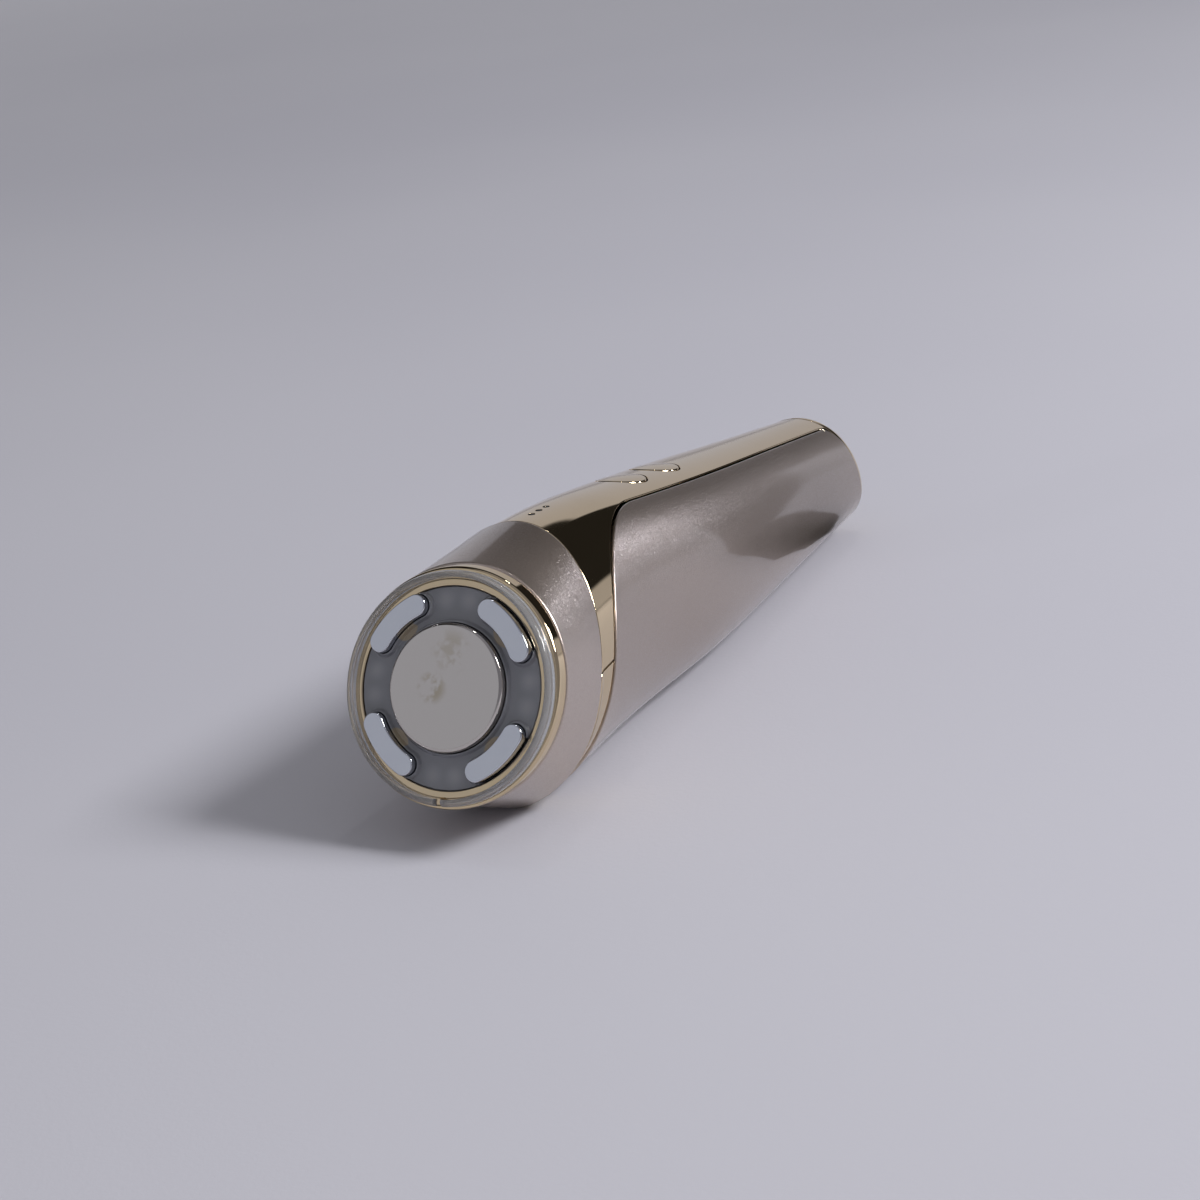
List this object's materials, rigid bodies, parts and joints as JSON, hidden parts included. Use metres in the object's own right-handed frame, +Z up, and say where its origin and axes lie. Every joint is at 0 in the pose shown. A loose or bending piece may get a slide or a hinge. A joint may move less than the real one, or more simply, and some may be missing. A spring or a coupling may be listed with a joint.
{
  "type": "facial toning device",
  "caption": "Cordless handheld facial toning wand: a tilted round electrode head on a tapering two-tone grip with dome push buttons.",
  "frame": {"origin": "centre of the bounding box's underside, on the table the wand lies on", "axes": "+Y from the head to the tail, +Z up through the buttons, +X to the right seen from the tail"},
  "size_m": [0.044, 0.1808, 0.0486],
  "materials": {
    "taupe_shell": "taupe pearl paint, satin",
    "gold_mirror": "metallised champagne gold, mirror gloss",
    "gold_trim": "plated champagne gold, mirror gloss",
    "electrode_steel": "polished stainless steel",
    "smoked_window": "smoked translucent plastic, gloss",
    "clear_ring": "clear polycarbonate, gloss",
    "indicator_lens": "dark tinted light pipe",
    "led_white": "white package with a phosphor lens",
    "carrier_black": "black moulded plastic, matt",
    "contact_gold": "gold-plated brass",
    "seal_grey": "grey silicone, matt",
    "cable_film": "amber polyimide film",
    "board_white": "white solder mask",
    "board_green": "green solder mask",
    "black_parts": "black moulded package",
    "ferrite": "dark grey sintered ferrite",
    "cell_wrap": "blue shrink sleeve on a metal can",
    "nickel": "nickel-plated steel"
  },
  "bodies": {
    "wand": {"centre_electrode": "electrode_steel", "arc_electrode_1": "electrode_steel", "contact_post_1": "contact_gold", "arc_electrode_2": "electrode_steel", "contact_post_2": "contact_gold", "arc_electrode_3": "electrode_steel", "contact_post_3": "contact_gold", "arc_electrode_4": "electrode_steel", "contact_post_4": "contact_gold", "centre_contact": "contact_gold", "electrode_carrier": "carrier_black", "carrier_screw_1": "nickel", "carrier_screw_2": "nickel", "carrier_screw_3": "nickel", "head_gasket": "seal_grey", "led_board": "board_white", "led_1": "led_white", "led_2": "led_white", "led_3": "led_white", "led_4": "led_white", "led_5": "led_white", "led_6": "led_white", "led_7": "led_white", "led_8": "led_white", "rim_bezel": "gold_trim", "face_window": "smoked_window", "head_collar": "taupe_shell", "head_cable": "cable_film", "top_cover": "gold_mirror", "lower_band": "gold_mirror", "grip_shell": "taupe_shell", "main_board": "board_green", "board_screw_1": "nickel", "board_screw_2": "nickel", "board_screw_3": "nickel", "switch_power": "black_parts", "switch_level": "black_parts", "button_seal": "seal_grey", "rf_transformer": "ferrite", "controller_chip": "black_parts", "indicator_1": "indicator_lens", "indicator_2": "indicator_lens", "indicator_3": "indicator_lens", "battery_cell": "cell_wrap", "battery_cradle": "carrier_black", "battery_tab_front": "nickel", "battery_tab_rear": "nickel", "tail_cap": "gold_mirror", "charge_board": "board_green", "charge_socket": "nickel", "socket_tongue": "black_parts"},
    "ring": {"cotton_ring": "clear_ring"},
    "power_key": {"button_power": "gold_trim"},
    "level_key": {"button_level": "gold_trim"}
  },
  "joints": [
    {"name": "cotton_ring_slide", "type": "slide", "parent": "wand", "child": "ring", "axis": [0, -0.91, 0.4147], "range_m": [0, 0.012]},
    {"name": "button_power_press", "type": "slide", "parent": "wand", "child": "power_key", "axis": [0, -0.1625, -0.9867], "range_m": [0, 0.0004], "stiffness_N_per_m": 800},
    {"name": "button_level_press", "type": "slide", "parent": "wand", "child": "level_key", "axis": [0, -0.1625, -0.9867], "range_m": [0, 0.0004], "stiffness_N_per_m": 800}
  ]
}
